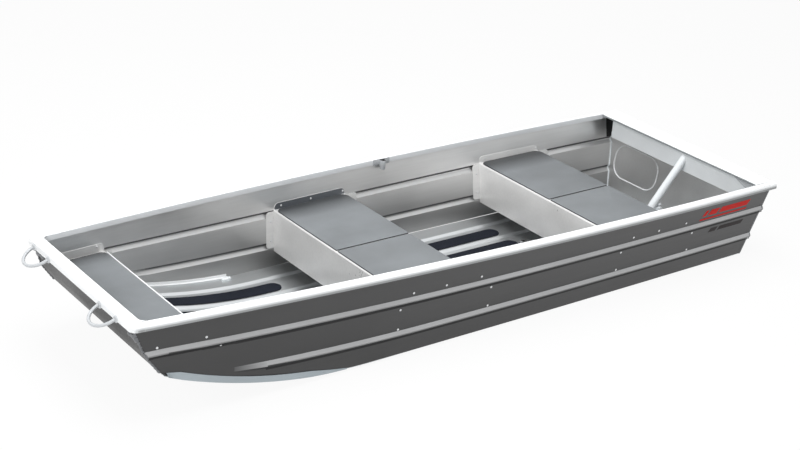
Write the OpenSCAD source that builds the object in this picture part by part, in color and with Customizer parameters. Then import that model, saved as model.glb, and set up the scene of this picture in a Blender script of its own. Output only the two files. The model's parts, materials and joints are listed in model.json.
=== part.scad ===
// Flat-bottomed aluminium punt: pressed side and bottom sheets, square raked bow, low raked transom,
// folded thwart boxes, short bow deck, rim extrusions, lifting loops, rowlock sockets and transom brace.
// +X is forward, +Y is port, +Z is up. The keel ribs stand on z = 0.

/* [Hull] */
// Length from the transom rim to the bow rim
hull_length = 3500; // [3300:10:3800]
// Beam over the rims at the transom
beam_stern = 1196; // [1140:2:1260]
// Beam over the rims at mid-length
beam_mid = 1180; // [1140:2:1260]
// Beam over the rims at the bow
beam_bow = 956; // [920:2:1040]
// Width of the bottom at the transom
bottom_stern = 984; // [940:2:1020]
// Width of the bottom at mid-length
bottom_mid = 1016; // [980:2:1040]
// Width of the bottom at the bow
bottom_bow = 990; // [940:2:1010]
// Height of the rim over the bottom at the transom
depth_stern = 410; // [400:1:460]
// Height of the rim over the bottom at mid-length
depth_mid = 423; // [410:1:480]
// Height of the rim over the bottom at the bow
depth_bow = 439; // [430:1:500]
// Thickness of the side sheets
side_sheet = 2; // [1.6:0.1:3]
// Thickness of the bottom sheet
bottom_sheet = 2.5; // [2:0.1:4]

/* [Pressings] */
// Depth of the keel ribs pressed into the bottom
keel_depth = 10; // [6:0.5:14]
// Width of a keel rib where it leaves the bottom
keel_width = 54; // [40:1:60]
// Distance from one keel rib to the next
keel_pitch = 154; // [140:1:164]
// Height of a strake pressed into a side
swage_height = 34; // [24:1:40]
// How far a strake stands out of a side
swage_depth = 13; // [8:0.5:16]
// Height of the lower strake's upper edge over the bottom
lower_strake = 123; // [110:1:140]
// Height of the upper strake's upper edge over the bottom
upper_strake = 278; // [262:1:282]

/* [Bow] */
// Distance from the bow end to where the bottom starts to rise
bow_rise_length = 1113; // [1000:1:1180]
// Radius of the rising bottom
bow_rise_radius = 2500; // [2400:10:3200]
// Set-back of the bow plate's foot from the bow end
bow_foot_setback = 128; // [110:1:170]
// Set-back of the bow plate's head from the bow end
bow_head_setback = 12; // [10:1:30]
// How far the bow plate swells forward between its foot and its head
bow_swell = 20; // [8:1:26]
// Thickness of the bow plate
bow_sheet = 2.5; // [2:0.1:4]
// Height of the seam strap along the rising chine
strap_height = 26; // [20:1:36]

/* [Transom] */
// Set-back of the transom's foot from the stern end
transom_foot_setback = 70; // [50:1:90]
// Set-back of the transom's head from the stern end
transom_head_setback = 5; // [4:1:20]
// Thickness of the transom plate
transom_sheet = 3; // [2:0.1:5]
// Width of the flat cap on the transom
cap_width = 112; // [90:1:130]
// Height of the cap's inner face
cap_face_height = 108; // [80:1:120]
// Distance from the cap's inner face to each side rim
cap_face_inset = 76; // [50:1:120]
// Depth of the lip turned down along the cap's inner edge
cap_lip = 10; // [6:0.5:16]
// Distance of the cap's inner face behind that lip
cap_face_setback = 6; // [3:0.5:12]

/* [Rims] */
// Width of a side rim
rim_width = 38; // [34:0.5:46]
// Depth of the rims' lips
rim_drop = 27; // [20:0.5:32]
// Wall of the rim extrusions
rim_wall = 2.5; // [2:0.1:3.5]
// Distance from a rim's inner lip to the side sheet
rim_play = 5.5; // [3:0.5:10]
// Width of the bow rim
bow_rim_width = 56; // [50:1:80]

/* [Seats and deck] */
// Height of the seat tops over the bottom
seat_height = 284; // [282:1:310]
// Height of a seat wall's lower edge over the bottom
seat_clearance = 78; // [50:1:110]
// Distance from the bow end to the middle seat's front edge
mid_seat_setback = 1264; // [1200:1:1320]
// Length of the middle seat
mid_seat_length = 420; // [360:1:480]
// Distance from the stern end to the rear seat's rear edge
rear_seat_setback = 566; // [520:1:620]
// Length of the rear seat
rear_seat_length = 405; // [360:1:460]
// Height of the bow deck over the bottom
deck_height = 288; // [280:1:304]
// Distance from the bow end to the bow deck's rear edge
deck_length = 368; // [320:1:420]
// Thickness of the seat and deck sheets
seat_sheet = 2; // [1.5:0.1:3]
// Thickness of the seat and deck pads
pad_thickness = 5; // [3:0.5:10]

/* [Fittings] */
// Width of a grip strip on the floor
strip_width = 82; // [60:1:90]
// Thickness of a grip strip
strip_thickness = 3; // [2:0.5:6]
// Distance of the port bow loop's centre from the centreline
loop_offset_port = 275; // [240:1:330]
// Distance of the starboard bow loop's centre from the centreline
loop_offset_starboard = 334; // [240:1:340]
// Distance between the two legs of a bow loop
loop_span = 142; // [110:1:160]
// Diameter of a bow loop's rod
loop_rod = 14; // [8:0.5:16]
// Distance from the stern end to the rowlock sockets
rowlock_setback = 1600; // [1450:1:1700]
// Bore of a rowlock socket
rowlock_bore = 13.2; // [10:0.2:16]
// Diameter of the transom brace's tube
brace_tube = 40; // [30:1:50]

/* [Hidden] */
// Running numbers
seat_gap = 0.2;
cut_over = 4;
ring_fn = 48;
arc_steps = 6;
hull_steps = 24;
gunwale_steps = 26;

// Ends of the hull and the frame's place between the stern end and the bow loops' tips
bow_end = hull_length / 2;
stern_end = -hull_length / 2;
rise_start = bow_end - bow_rise_length;
bow_foot = bow_end - bow_foot_setback;
side_inset = rim_width - rim_wall - rim_play - side_sheet;
mid_seat_front = bow_end - mid_seat_setback;
mid_seat_back = mid_seat_front - mid_seat_length;
rear_seat_back = stern_end + rear_seat_setback;
rear_seat_front = rear_seat_back + rear_seat_length;
deck_back = bow_end - deck_length;
rowlock_place = stern_end + rowlock_setback;
loop_leg = 6;
loop_foot_length = 3;
loop_tilt = 25;
loop_reach = seat_gap + loop_foot_length + (loop_leg + loop_span / 2) * cos(loop_tilt) + loop_rod / 2;
frame_shift = -loop_reach / 2;

// Strake columns: upper edge over the bottom, lift at the bow end, start of the lift, forward end
lower_lift = 69;
lower_lift_run = 1450;
lower_strake_gap = 455;
upper_lift = 38;
upper_lift_run = 1950;
strake_fade = 110;
STRAKES = [
    [lower_strake, lower_lift, bow_end - lower_lift_run, bow_end - lower_strake_gap],
    [upper_strake, upper_lift, bow_end - upper_lift_run, bow_end + strake_fade],
];
// Strake section from its lower to its upper edge: share of the height, share of the depth
SWAGE_SHARES = [[0, 0], [0.25, 0.66], [0.42, 0.96], [0.58, 0.96], [0.75, 0.66], [1, 0]];
swage_min_step = 2.5;

// Keel rib section: share of half the width, share of the depth
KEEL_SHARES = [[-1, 0], [-0.5, 1], [0.5, 1], [1, 0]];
KEEL_ORDERS = [-2.5, -1.5, -0.5, 0.5, 1.5, 2.5];
keel_stern_run = 90;
keel_bow_gap = 380;
keel_bow_run = 240;

// Radii of the rim's outer and inner upper edges
rim_round = 20;
rim_inner_round = 4;

// Curves of the hull along its length
function blend(x, aft, mid, fore) =
    let (t = x / bow_end) mid + (fore - aft) / 2 * t + ((fore + aft) / 2 - mid) * t * t;
function half_beam(x) = blend(x, beam_stern, beam_mid, beam_bow) / 2;
function half_bottom(x) = blend(x, bottom_stern, bottom_mid, bottom_bow) / 2;
function rim_top(x) = keel_depth + blend(x, depth_stern, depth_mid, depth_bow);
function bottom_z(x) =
    keel_depth + (x <= rise_start ? 0
        : bow_rise_radius - sqrt(pow(bow_rise_radius, 2) - pow(x - rise_start, 2)));
function ramp(value) = min(1, max(0, value));
function smooth(value) = let (r = ramp(value)) r * r * (3 - 2 * r);
function mix(a, b, share) = a + (b - a) * share;

// The side's outer face, leaning from the chine to the rim
function side_y(x, z) =
    mix(half_bottom(x), half_beam(x) - side_inset,
        (z - keel_depth) / (rim_top(x) - rim_drop - keel_depth));
function inner_y(x, z) = side_y(x, z) - side_sheet - seat_gap;

// Raked ends: the transom is flat, the bow swells forward
function transom_x(z) =
    stern_end + mix(transom_foot_setback, transom_head_setback, (z - keel_depth) / depth_stern);
function bow_x(z) =
    let (share = (z - bottom_z(bow_foot)) / (rim_top(bow_end) - bottom_z(bow_foot)))
    bow_end - mix(bow_foot_setback, bow_head_setback, share) + bow_swell * 4 * share * (1 - share);

transom_step = 6;
transom_rake = atan((transom_foot_setback - transom_head_setback) / depth_stern);

function strake_top(strake, x) =
    keel_depth + strake[0]
        + strake[1] * pow(max(0, (x - strake[2]) / (bow_end - strake[2])), 2);
function strake_depth(strake, x) = swage_depth * smooth((strake[3] - x) / strake_fade);

// Side section at x, from the chine to the rim: height and how far the pressing stands out
function side_section(x) =
    let (foot = bottom_z(min(x, bow_foot)) + bottom_sheet + seat_gap)
    concat(
        [[foot, 0]],
        [for (s = [0 : len(STRAKES) - 1]) for (k = [0 : len(SWAGE_SHARES) - 1])
            let (strake = STRAKES[s],
                 raw = strake_top(strake, x) - swage_height * (1 - SWAGE_SHARES[k][0]),
                 order = 1 + k + s * len(SWAGE_SHARES))
            [max(raw, foot + swage_min_step * order), SWAGE_SHARES[k][1] * strake_depth(strake, x)]],
        [[rim_top(x) - rim_wall - seat_gap, 0]]
    );

// Station planes: raked at both ends, upright between
side_first = stern_end + transom_foot_setback + cap_width / 2;
side_last = bow_foot - bow_rim_width / 2;
function station_base(i) =
    i == 0 ? stern_end + transom_foot_setback
        : i == hull_steps ? bow_foot
        : mix(side_first, side_last, (i - 1) / (hull_steps - 2));
function station_x(i, z) =
    i == 0 ? transom_x(z)
        : i == hull_steps ? bow_x(z) - bow_sheet / cos(bow_rake) - seat_gap
        : station_base(i);
bow_rake = atan((bow_foot_setback - bow_head_setback) / (rim_top(bow_end) - bottom_z(bow_foot)));

// Solid between matching rings of points. A ring runs along one face of a sheet and back along the other,
// so point k lies across the sheet from point n - 1 - k. Both faces are split along matching diagonals, and the
// sheet keeps its thickness where it twists.
module loft(rings) {
    n = len(rings[0]);
    last = (len(rings) - 1) * n;
    polyhedron(
        points = [for (ring = rings) for (p = ring) p],
        faces = concat(
            [for (k = [0 : n / 2 - 2])
                each [[k, k + 1, n - 2 - k], [k, n - 2 - k, n - 1 - k]]],
            [for (i = [0 : n : last - n]) for (k = [0 : n - 1])
                let (a = i + k, b = i + (k + 1) % n, c = b + n, d = a + n)
                each k < n / 2 ? [[a, d, c], [a, c, b]] : [[a, d, b], [b, d, c]]],
            [for (k = [0 : n / 2 - 2])
                each [[last + n - 2 - k, last + k + 1, last + k],
                      [last + n - 1 - k, last + n - 2 - k, last + k]]]
        ),
        convexity = 8
    );
}

function reversed(list) = [for (k = [len(list) - 1 : -1 : 0]) list[k]];

// Outline with its corners rounded: each corner is a point and its radius
function corner_arc(before, corner, after, radius) =
    radius == 0 ? [corner]
    : let (
        u = (before - corner) / norm(before - corner),
        v = (after - corner) / norm(after - corner),
        half_angle = acos(u * v) / 2,
        middle = (u + v) / norm(u + v),
        centre = corner + middle * radius / sin(half_angle),
        start = corner + u * radius / tan(half_angle) - centre,
        end = corner + v * radius / tan(half_angle) - centre,
        sweep = 180 - 2 * half_angle,
        turn = sign(start[0] * end[1] - start[1] * end[0])
    )
    [for (k = [0 : arc_steps])
        let (a = turn * sweep * k / arc_steps)
        centre + [start[0] * cos(a) - start[1] * sin(a), start[0] * sin(a) + start[1] * cos(a)]];
function rounded(corners, radii) =
    let (n = len(corners))
    [for (k = [0 : n - 1])
        each corner_arc(corners[(k + n - 1) % n], corners[k], corners[(k + 1) % n], radii[k])];

sheet_colour = "#8c9094";
outer_colour = "#6f7275";
rim_colour = "#eceff1";
strap_colour = "#aab4ba";
pad_colour = "#6f777d";
strip_colour = "#22262c";

module place() {
    translate([frame_shift, 0, 0]) children();
}

module to_side(side) {
    mirror([0, side == "port" ? 0 : 1, 0]) children();
}

// Bottom sheet with its keel ribs, rising at the bow
function keel_fade(x) =
    smooth((x - stern_end - transom_foot_setback) / keel_stern_run)
        * smooth((bow_end - keel_bow_gap - x) / keel_bow_run);
function bottom_section(x) =
    concat(
        [[-half_bottom(x), 0]],
        [for (order = KEEL_ORDERS) for (point = KEEL_SHARES)
            [order * keel_pitch + point[0] * keel_width / 2, -point[1] * keel_depth * keel_fade(x)]],
        [[half_bottom(x), 0]]
    );
bottom_first = stern_end + transom_foot_setback;
bottom_last = bow_foot - bow_sheet / cos(bow_rake) - seat_gap;
function bottom_ring(x) =
    let (section = bottom_section(x), z = bottom_z(x))
    concat(
        [for (p = section) [x, p[0], z + p[1]]],
        reversed([for (p = section) [x, p[0], z + p[1] + bottom_sheet]])
    );

// Stations are close where the ribs run out at the stern and where the bottom rises
keel_run_steps = 3;
rise_steps = 13;
BOTTOM_STATIONS = concat(
    [for (k = [0 : keel_run_steps]) bottom_first + keel_stern_run * k / keel_run_steps],
    [for (k = [0 : rise_steps]) mix(rise_start, bottom_last, k / rise_steps)]
);

module hull_bottom() {
    color(sheet_colour) loft([for (x = BOTTOM_STATIONS) bottom_ring(x)]);
}

// Side sheet with its two strakes
function side_ring(i) =
    let (section = side_section(station_base(i)))
    concat(
        [for (p = section)
            let (x = station_x(i, p[0])) [x, side_y(x, p[0]) + p[1], p[0]]],
        reversed([for (p = section)
            let (x = station_x(i, p[0])) [x, side_y(x, p[0]) + p[1] - side_sheet, p[0]]])
    );

module side_sheet_panel() {
    color(outer_colour) loft([for (i = [0 : hull_steps]) side_ring(i)]);
}

// Swelling bow plate, as wide as the side sheets' outer faces
module bow_plate() {
    depth = bow_sheet / cos(bow_rake);
    section = side_section(bow_foot);
    levels = concat([[bottom_z(bow_foot), 0]], section);
    color(outer_colour)
        loft([for (p = levels)
            let (x = bow_x(p[0]), y = side_y(x, p[0]) + p[1])
            [[x, y, p[0]], [x - depth, y, p[0]], [x - depth, -y, p[0]], [x, -y, p[0]]]]);
}

// Raked transom plate between the side sheets, notched round the rims' inner lips
module transom_plate() {
    depth = transom_sheet / cos(transom_rake);
    section = side_section(stern_end + transom_foot_setback);
    lip_z = rim_top(stern_end) - rim_drop - seat_gap;
    lip_y = half_beam(stern_end) - rim_width - seat_gap;
    below = [for (p = section) if (p[0] < lip_z)
        let (x = transom_x(p[0]) + transom_step) [p[0], inner_y(x, p[0]) + p[1]]];
    shoulder_z = lip_z - rim_wall;
    levels = concat(
        [for (p = below) if (p[0] < shoulder_z) p],
        [[shoulder_z, inner_y(transom_x(shoulder_z) + transom_step, shoulder_z)]],
        [[lip_z, lip_y], [rim_top(stern_end) - rim_wall - seat_gap, lip_y]]
    );
    color(sheet_colour)
        loft([for (p = levels)
            let (x = transom_x(p[0]) + transom_step)
            [[x + depth, p[1], p[0]], [x, p[1], p[0]], [x, -p[1], p[0]], [x + depth, -p[1], p[0]]]]);
}

// Rim extrusion: rounded outside, open below, with an inner lip
function quarter(centre, radius, from, steps) =
    [for (k = [0 : steps]) let (a = from + 90 * k / steps) centre + radius * [cos(a), sin(a)]];
function rim_line(inset) =
    concat(
        [[-inset, -rim_drop]],
        quarter([-rim_round, -rim_round], rim_round - inset, 0, arc_steps),
        quarter([rim_inner_round - rim_width, -rim_inner_round], rim_inner_round - inset, 90, arc_steps / 2),
        [[inset - rim_width, -rim_drop]]
    );
function rim_ring(x, outline) = [for (p = outline) [x, half_beam(x) + p[0], rim_top(x) + p[1]]];
gunwale_first = stern_end + rim_wall + seat_gap;
gunwale_last = bow_end - bow_rim_width - seat_gap;

module gunwale() {
    outline = concat(rim_line(0), reversed(rim_line(rim_wall)));
    color(rim_colour)
        loft([for (i = [0 : gunwale_steps])
            rim_ring(mix(gunwale_first, gunwale_last, i / gunwale_steps), outline)]);
}

// Bow rim: a flat cap with lips, rounded into the side rims. Its outline draws in by one amount at the front
// and by another at the sides.
bow_corner_round = 30;
bow_front_round = 6;
bow_fillet = 26;
bow_rim_back = bow_end - bow_rim_width;
function bow_rim_outline(back, front_inset, side_inset) =
    let (
        front = bow_end - front_inset,
        yb = half_beam(bow_rim_back) - side_inset,
        yf = half_beam(bow_end) - side_inset,
        r = bow_corner_round - side_inset
    )
    rounded([[back, -yb], [front, -yf], [front, yf], [back, yb]], [0, r, r, 0]);
function bow_rim_stack(back, low, wall) =
    let (top = rim_top(bow_end), r = rim_round - wall)
    concat(
        [[for (p = bow_rim_outline(back, wall, wall)) [p[0], p[1], low]]],
        [for (k = [0 : arc_steps])
            let (
                a = 90 * k / arc_steps,
                front_inset = mix(wall, bow_front_round, 1 - cos(a)),
                side_inset = mix(wall, rim_round, 1 - cos(a))
            )
            [for (p = bow_rim_outline(back, front_inset, side_inset))
                [p[0], p[1], top - rim_round + r * sin(a)]]]
    );

module bow_rim_fillets() {
    y = half_beam(bow_rim_back) - rim_width - seat_gap;
    for (side = ["port", "starboard"]) to_side(side)
        difference() {
            translate([bow_rim_back - bow_fillet, y - bow_fillet])
                square([bow_fillet + rim_wall, bow_fillet]);
            translate([bow_rim_back - bow_fillet, y - bow_fillet]) circle(r = bow_fillet, $fn = ring_fn);
        }
}

module bow_rim() {
    top = rim_top(bow_end);
    lip_y = inner_y(bow_rim_back, top) - seat_gap;
    color(rim_colour) {
        difference() {
            loft(bow_rim_stack(bow_rim_back, top - rim_drop, 0));
            loft(bow_rim_stack(bow_rim_back - cut_over, top - rim_drop - cut_over, rim_wall));
        }
        translate([bow_rim_back, -lip_y, top - rim_drop]) cube([rim_wall, 2 * lip_y, rim_drop - rim_wall]);
        translate([0, 0, top - rim_wall]) linear_extrude(rim_wall) bow_rim_fillets();
    }
}

// Transom cap: flat top, an outer lip over the rims' ends, a turned-down inner lip and, set back under it,
// a deep inner face short of the sides
cap_face_x = stern_end + cap_width - rim_wall - cap_face_setback;
module transom_cap() {
    top = rim_top(stern_end);
    y = min(half_beam(stern_end), half_beam(stern_end + cap_width)) - rim_width - seat_gap;
    face_y = y - cap_face_inset;
    lip_y = half_beam(stern_end);
    color(rim_colour) {
        translate([stern_end, -y, top - rim_wall]) cube([cap_width, 2 * y, rim_wall]);
        translate([stern_end, 0, top - rim_drop]) rotate([90, 0, 90]) linear_extrude(rim_wall)
            polygon(rounded(
                [[-lip_y, 0], [lip_y, 0], [lip_y, rim_drop], [-lip_y, rim_drop]],
                [0, 0, rim_round, rim_round]
            ));
        translate([stern_end + cap_width - rim_wall, -y, top - cap_lip]) cube([rim_wall, 2 * y, cap_lip]);
        translate([cap_face_x - rim_wall, -face_y, top - cap_face_height])
            cube([rim_wall, 2 * face_y, cap_face_height]);
    }
}

// Frame of the transom's inner face: x forward off the face, y athwart, z up the rake
module on_transom(face) {
    translate([transom_x(keel_depth) + transom_step, 0, keel_depth])
        rotate([0, -transom_rake, 0])
            translate([face == "inner" ? transom_sheet : 0, 0, 0]) children();
}

// Pressed oval bead on the starboard half of the transom's inner face
oval_length = 324;
oval_height = 186;
oval_round = 78;
oval_bead = 4;
oval_side_gap = 37;
oval_z = 172;
module bead_profile() {
    intersection() {
        circle(r = oval_bead, $fn = ring_fn);
        translate([-oval_bead, 0]) square([2 * oval_bead, oval_bead]);
    }
}

module bead_run(length) {
    rotate([90, 0, 0]) translate([0, 0, -length / 2]) linear_extrude(length) bead_profile();
}

module transom_oval() {
    straight_y = oval_length - 2 * oval_round;
    straight_z = oval_height - 2 * oval_round;
    middle_z = keel_depth + oval_z;
    side = inner_y(transom_x(middle_z) + transom_step, middle_z);
    oval_y = oval_side_gap + oval_bead + oval_length / 2 - side;
    color(sheet_colour) on_transom("inner")
        translate([seat_gap, oval_y, oval_z]) rotate([0, 90, 0]) {
            for (k = [0 : 3]) rotate([0, 0, 90 * k]) {
                along = k % 2 == 0 ? straight_y : straight_z;
                across = k % 2 == 0 ? straight_z : straight_y;
                translate([across / 2 + oval_round, 0, 0]) bead_run(along);
                translate([across / 2, along / 2, 0])
                    rotate_extrude(angle = 90, $fn = ring_fn) translate([oval_round, 0]) bead_profile();
            }
        }
}

// Clamp plate for an outboard motor on the transom's outer face
motor_pad_width = 420;
motor_pad_height = 230;
motor_pad_round = 24;
motor_pad_thickness = 5;
motor_pad_z = 128;
module motor_pad() {
    outline = rounded(
        [[0, -motor_pad_width / 2], [motor_pad_height, -motor_pad_width / 2],
         [motor_pad_height, motor_pad_width / 2], [0, motor_pad_width / 2]],
        [for (k = [0 : 3]) motor_pad_round]
    );
    color(sheet_colour) on_transom("outer")
        translate([-seat_gap, 0, motor_pad_z]) rotate([0, -90, 0])
            linear_extrude(motor_pad_thickness) polygon(outline);
}

// Drain socket and its plug low on the transom
drain_flange = 44;
drain_flange_thickness = 4;
drain_plug = 26;
drain_plug_length = 12;
drain_y = -300;
drain_z = 46;
module drain_bung() {
    color(strip_colour) on_transom("outer")
        translate([-seat_gap, drain_y, drain_z]) rotate([0, -90, 0]) {
            cylinder(d = drain_flange, h = drain_flange_thickness, $fn = ring_fn);
            cylinder(d = drain_plug, h = drain_flange_thickness + drain_plug_length, $fn = 6);
        }
}

// Seam strap outside the rising chine, thicker at its foot
strap_setback = 998;
strap_start = bow_end - strap_setback;
strap_end_gap = 20;
strap_end = bow_foot - strap_end_gap;
strap_run = 190;
strap_nose = 40;
strap_head_thickness = 2.5;
strap_foot_thickness = 9;
strap_steps = 14;
strap_start_share = 0.2;
strap_nose_share = 0.45;
function strap_swell(x) =
    mix(strap_start_share, 1, ramp((x - strap_start) / strap_run))
        * mix(strap_nose_share, 1, ramp((strap_end - x) / strap_nose));
function strap_ring(x) =
    let (
        foot = bottom_z(x),
        swell = strap_swell(x),
        head = foot + strap_height * swell,
        y_foot = max(half_bottom(x), side_y(x, foot)) + seat_gap,
        y_head = side_y(x, head) + seat_gap
    )
    [
        [x, y_foot, foot],
        [x, y_foot + strap_foot_thickness * swell, foot],
        [x, y_head + strap_head_thickness * swell, head],
        [x, y_head, head],
    ];
module chine_strap() {
    color(strap_colour) loft([for (i = [0 : strap_steps])
        strap_ring(mix(strap_start, strap_end, i / strap_steps))]);
}

// Angle inside the rising chine, one leg on the side and one on the bottom
angle_leg = 15;
angle_sheet = 3;
angle_gap = 0.5;
angle_end_gap = 12;
function angle_ring(x) =
    let (
        foot = bottom_z(x) + bottom_sheet + angle_gap,
        head = foot + angle_leg,
        y_foot = inner_y(x, foot) - seat_gap,
        y_head = inner_y(x, head) - seat_gap
    )
    [
        [x, y_foot - angle_leg, foot],
        [x, y_foot, foot],
        [x, y_head, head],
        [x, y_head - angle_sheet, head],
        [x, y_foot - angle_sheet, foot + angle_sheet],
        [x, y_foot - angle_leg, foot + angle_sheet],
    ];
module chine_angle() {
    angle_end = bow_foot - angle_end_gap;
    color(strap_colour) loft([for (i = [0 : strap_steps])
        angle_ring(mix(strap_start, angle_end, i / strap_steps))]);
}

// Folded sheet across the hull: its section is a path of [x, z], its ends follow the sides
function across(path) = [for (p = path) [p[0], inner_y(p[0], p[1]) - seat_sheet / 2, p[1]]];
module folded_sheet(path) {
    ring = across(path);
    loft([[for (p = ring) [p[0], -p[1], p[2]]], ring]);
}

// Sheet lying along a side. Each of its stations is a place, a lower and an upper edge.
module side_tab(stations) {
    function face(station, inset) =
        [for (z = [station[1], station[2]]) [station[0], inner_y(station[0], z) - inset, z]];
    loft([for (s = stations) concat(face(s, 0), reversed(face(s, seat_sheet)))]);
}

// Stations of a tab's free end, its lower and upper corners rounded; heading points into the tab
tab_steps = 3;
function free_end(x, heading, low, high, low_round, high_round) =
    [for (k = [0 : tab_steps])
        let (a = 90 * k / tab_steps)
        [x + heading * max(low_round, high_round) * (1 - cos(a)),
         low + low_round * (1 - sin(a)), high - high_round * (1 - sin(a))]];

fold_round = 6;
seat_lip = 16;
seat_flange = 31;
flange_round = 22;
seat_tab = 42;
seat_back_tab = 68;
seat_tab_inset = 18;
tab_round = 14;

// Box section of a seat: two walls with inward feet and a flat top with rounded folds
function fold(corner, radius, from) =
    [for (k = [0 : arc_steps / 2])
        let (a = from - 180 * k / arc_steps) corner + radius * [cos(a), sin(a)]];
function seat_section(back, front, top, foot) =
    let (t = seat_sheet, r = fold_round)
    concat(
        [[back + seat_lip, foot], [back, foot]],
        fold([back + r, top - r], r, 180),
        fold([front - r, top - r], r, 90),
        [[front, foot], [front - seat_lip, foot], [front - seat_lip, foot + t], [front - t, foot + t]],
        reversed(fold([front - r, top - r], r - t, 90)),
        reversed(fold([back + r, top - r], r - t, 180)),
        [[back + t, foot + t], [back + seat_lip, foot + t]]
    );

module seat(back, front) {
    top = keel_depth + seat_height;
    foot = keel_depth + seat_clearance;
    low = foot + seat_tab_inset;
    high = top - fold_round;
    lap = seat_sheet / 2;
    color(sheet_colour) {
        folded_sheet(seat_section(back, front, top, foot));
        for (side = ["port", "starboard"]) to_side(side) {
            side_tab(concat(
                free_end(back + fold_round, 1, top - lap, top + seat_flange, 0, flange_round),
                reversed(free_end(front - fold_round, -1, top - lap, top + seat_flange, 0, flange_round))
            ));
            side_tab(concat(
                [[front - lap, low, high]],
                reversed(free_end(front + seat_tab, -1, low, high, tab_round, tab_round))
            ));
            side_tab(concat(
                free_end(back - seat_back_tab, 1, low, high, tab_round, tab_round),
                [[back + lap, low, high]]
            ));
        }
    }
}

// Pad on one half of a seat, rounded at its outer corners
pad_edge = 7;
pad_split = 8;
pad_round = 34;
pad_inner_round = 5;
module seat_pad(back, front) {
    top = keel_depth + seat_height;
    x0 = back + pad_edge;
    x1 = front - pad_edge;
    y0 = pad_split / 2;
    function reach(x) = inner_y(x, top) - seat_sheet - pad_edge;
    color(pad_colour) translate([0, 0, top + seat_gap]) linear_extrude(pad_thickness)
        polygon(rounded(
            [[x0, y0], [x1, y0], [x1, reach(x1)], [x0, reach(x0)]],
            [pad_inner_round, pad_inner_round, pad_round, pad_round]
        ));
}

// Bow deck: flat sheet with a folded rear edge, side flanges and rear tabs
deck_drop = 46;
deck_flange = 42;
deck_tab = 34;
deck_front = bow_x(keel_depth + deck_height - seat_sheet) - bow_sheet / cos(bow_rake) - 2 * seat_gap;
module bow_deck() {
    top = keel_depth + deck_height;
    foot = top - deck_drop;
    t = seat_sheet;
    r = fold_round;
    section = concat(
        [[deck_back + seat_lip, foot], [deck_back, foot]],
        fold([deck_back + r, top - r], r, 180),
        [[deck_front, top], [deck_front, top - t]],
        reversed(fold([deck_back + r, top - r], r - t, 180)),
        [[deck_back + t, foot + t], [deck_back + seat_lip, foot + t]]
    );
    color(sheet_colour) {
        folded_sheet(section);
        for (side = ["port", "starboard"]) to_side(side) {
            side_tab(concat(
                free_end(deck_back + r, 1, top - t / 2, top + deck_flange, 0, flange_round),
                [[deck_front - t, top - t / 2, top + deck_flange]]
            ));
            side_tab(concat(
                free_end(deck_back - deck_tab, 1, foot + t, top - r, tab_round, tab_round),
                [[deck_back + t / 2, foot + t, top - r]]
            ));
        }
    }
}

module deck_pad() {
    top = keel_depth + deck_height;
    x0 = deck_back + pad_edge;
    x1 = deck_front - pad_edge;
    function reach(x) = inner_y(x, top) - seat_sheet - pad_edge;
    color(pad_colour) translate([0, 0, top + seat_gap]) linear_extrude(pad_thickness)
        polygon(rounded(
            [[x0, -reach(x0)], [x1, -reach(x1)], [x1, reach(x1)], [x0, reach(x0)]],
            [pad_round, pad_inner_round, pad_inner_round, pad_round]
        ));
}

// Grip strips on the flats between the keel ribs, with round ends, following the bottom
STRIP_ORDERS = [-2, -1, 0, 1, 2];
strip_end_gap = 44;
front_strip_gap = 88;
strip_steps = 12;
strip_end_steps = 5;
strip_tip_share = 0.12;
function strip_stations(back, front) =
    let (r = strip_width / 2)
    concat(
        [for (k = [0 : strip_end_steps - 1])
            let (c = mix(1, 0, k / strip_end_steps))
            [back + r * (1 - c), r * max(strip_tip_share, sqrt(1 - c * c))]],
        [for (k = [0 : strip_steps]) [mix(back + r, front - r, k / strip_steps), r]],
        [for (k = [1 : strip_end_steps])
            let (c = k / strip_end_steps)
            [front - r + r * c, r * max(strip_tip_share, sqrt(1 - c * c))]]
    );
module grip_strip(back, front) {
    loft([for (s = strip_stations(back, front))
        let (z = bottom_z(s[0]) + bottom_sheet + seat_gap)
        [[s[0], -s[1], z], [s[0], s[1], z],
         [s[0], s[1], z + strip_thickness], [s[0], -s[1], z + strip_thickness]]]);
}

module grip_strips(back, front) {
    color(strip_colour)
        for (order = STRIP_ORDERS) translate([0, order * keel_pitch, 0]) grip_strip(back, front);
}

module front_strips() {
    grip_strips(mid_seat_front + front_strip_gap, deck_back - strip_end_gap);
}

module mid_strips() {
    grip_strips(rear_seat_front + strip_end_gap, mid_seat_back - strip_end_gap);
}

// Rod loop welded to the bow rim, hanging forward and down
loop_drop = 21;
loop_foot = 18;
module bow_loop(offset) {
    color(rim_colour)
        translate([bow_end + seat_gap, offset, rim_top(bow_end) - loop_drop]) {
            for (end = [-1, 1]) translate([0, end * loop_span / 2, 0]) rotate([0, 90, 0])
                cylinder(d = loop_foot, h = loop_foot_length, $fn = ring_fn);
            translate([loop_foot_length, 0, 0]) rotate([0, loop_tilt, 0]) {
                for (end = [-1, 1]) translate([0, end * loop_span / 2, 0]) rotate([0, 90, 0])
                    cylinder(d = loop_rod, h = loop_leg, $fn = ring_fn);
                translate([loop_leg, 0, 0]) rotate([0, 0, -90])
                    rotate_extrude(angle = 180, $fn = ring_fn)
                        translate([loop_span / 2, 0]) circle(d = loop_rod, $fn = ring_fn);
            }
        }
}

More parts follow.
